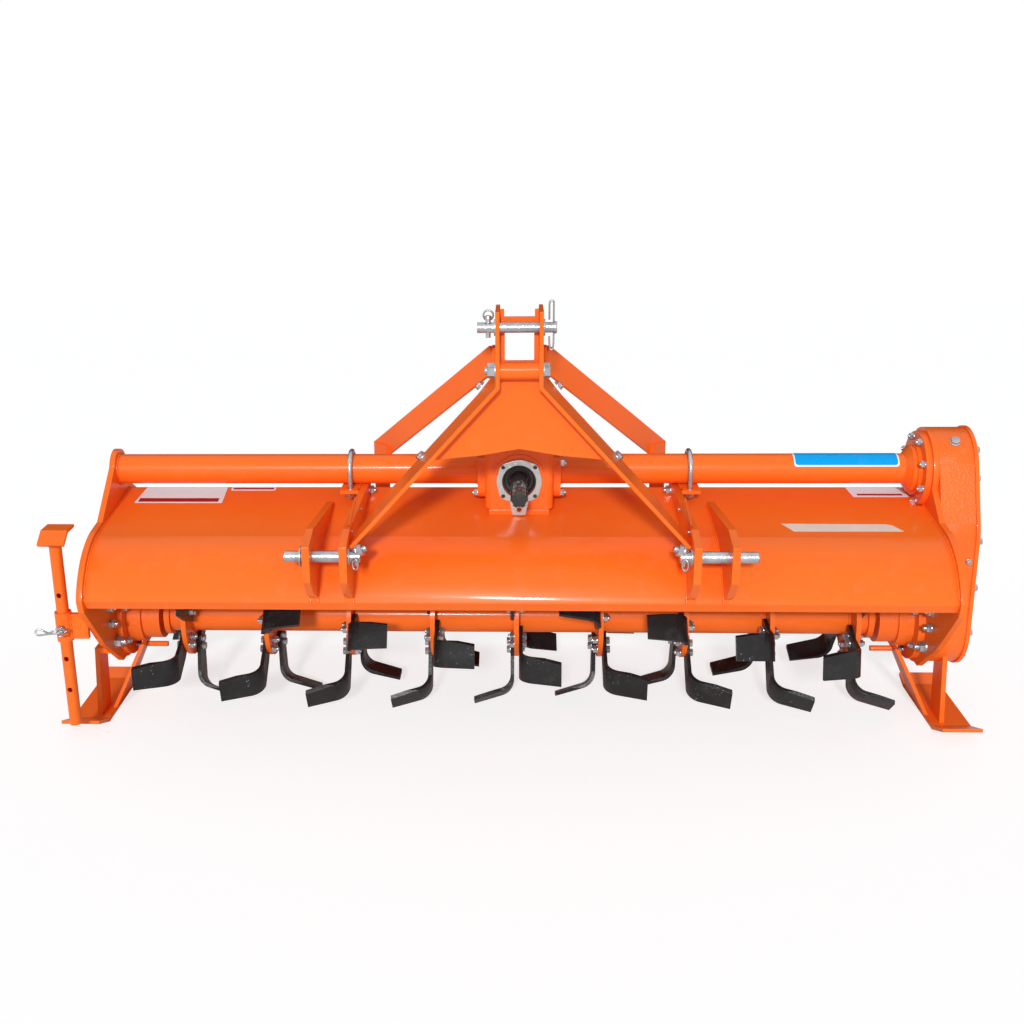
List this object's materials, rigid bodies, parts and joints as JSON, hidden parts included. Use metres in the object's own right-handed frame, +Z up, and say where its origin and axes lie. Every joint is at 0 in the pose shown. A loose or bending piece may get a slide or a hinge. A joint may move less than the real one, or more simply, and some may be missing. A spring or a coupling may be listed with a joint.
{
  "type": "rotavator",
  "caption": "Tractor-mounted rotavator with a tined rotor under a bent hood, side gear case, three-point hitch frame, skids and trailing board.",
  "frame": {"origin": "middle of the machine on the floor it stands on", "axes": "+X along the rotor towards the side gear case, +Y to the rear (the tractor stands at -Y), +Z up"},
  "size_m": [1.94, 0.725, 0.921],
  "materials": {
    "orange_paint": "glossy orange enamel on sheet and plate",
    "orange_casting": "glossy orange enamel over a cast skin",
    "tine_black": "satin black dip on forged spring steel",
    "shaft_black": "oiled black steel",
    "zinc_plate": "bright zinc plating",
    "machined_steel": "machined bare steel"
  },
  "bodies": {
    "frame": {"bearing_hub_left": "orange_casting", "bearing_hub_right": "orange_casting", "board_hinge_rod": "zinc_plate", "cross_tube": "orange_paint", "drive_tube": "orange_paint", "end_plate_left": "orange_paint", "end_plate_right": "orange_paint", "gearbox_base": "orange_paint", "gearbox_housing": "orange_casting", "hitch_cheek_inner_left": "orange_paint", "hitch_cheek_inner_right": "orange_paint", "hitch_cheek_outer_left": "orange_paint", "hitch_cheek_outer_right": "orange_paint", "hitch_pin_left": "zinc_plate", "hitch_pin_right": "zinc_plate", "hood_shell": "orange_paint", "input_cap": "machined_steel", "mast_leg_left": "orange_paint", "mast_leg_right": "orange_paint", "mast_panel": "orange_paint", "mast_spacer": "orange_paint", "rear_beam": "orange_paint", "rear_stay_left": "orange_paint", "rear_stay_right": "orange_paint", "rod_bracket_left": "orange_paint", "rod_bracket_right": "orange_paint", "side_case_cover": "orange_paint", "side_gear_case": "orange_casting", "skid_left": "orange_paint", "skid_right": "orange_paint", "stand_pin": "zinc_plate", "stand_sleeve": "orange_paint", "top_link_pin": "zinc_plate", "tube_saddle_left": "orange_paint", "tube_saddle_right": "orange_paint", "ubolt_left": "zinc_plate", "ubolt_right": "zinc_plate"},
    "rotor": {"rotor_tube": "orange_paint", "tine_gang_1": "tine_black", "tine_gang_2": "tine_black", "tine_gang_3": "tine_black", "tine_gang_4": "tine_black", "tine_gang_5": "tine_black", "tine_gang_6": "tine_black", "tine_gang_7": "tine_black", "tine_gang_8": "tine_black", "tine_gang_9": "tine_black"},
    "input_shaft": {"pto_shaft": "shaft_black"},
    "parking_stand": {"parking_stand": "orange_paint"},
    "trailing_board": {"trailing_board": "orange_paint"},
    "hanging_rods": {"hanging_rod_left": "zinc_plate", "hanging_rod_right": "zinc_plate"}
  },
  "joints": [
    {"name": "rotor_spin", "type": "hinge", "parent": "frame", "child": "rotor", "pos_m": [0, -0.0265, 0.212], "axis": [1, 0, 0], "continuous": true},
    {"name": "input_spin", "type": "hinge", "parent": "frame", "child": "input_shaft", "pos_m": [0.01, -0.1465, 0.532], "axis": [0, 1, 0], "continuous": true},
    {"name": "stand_slide", "type": "slide", "parent": "frame", "child": "parking_stand", "axis": [0, 0, 1], "range_m": [-0.045, 0.14]},
    {"name": "board_hinge", "type": "hinge", "parent": "frame", "child": "trailing_board", "pos_m": [0, 0.2255, 0.384], "axis": [1, 0, 0], "range_deg": [0, 45]},
    {"name": "rod_hinge", "type": "hinge", "parent": "trailing_board", "child": "hanging_rods", "pos_m": [0, 0.3475, 0.202], "axis": [1, 0, 0], "range_deg": [-10, 1]}
  ],
  "couplings": [
    {"joint": "input_spin", "follows": "rotor_spin", "ratio": -2.45},
    {"joint": "rod_hinge", "follows": "board_hinge", "ratio": -0.2}
  ]
}
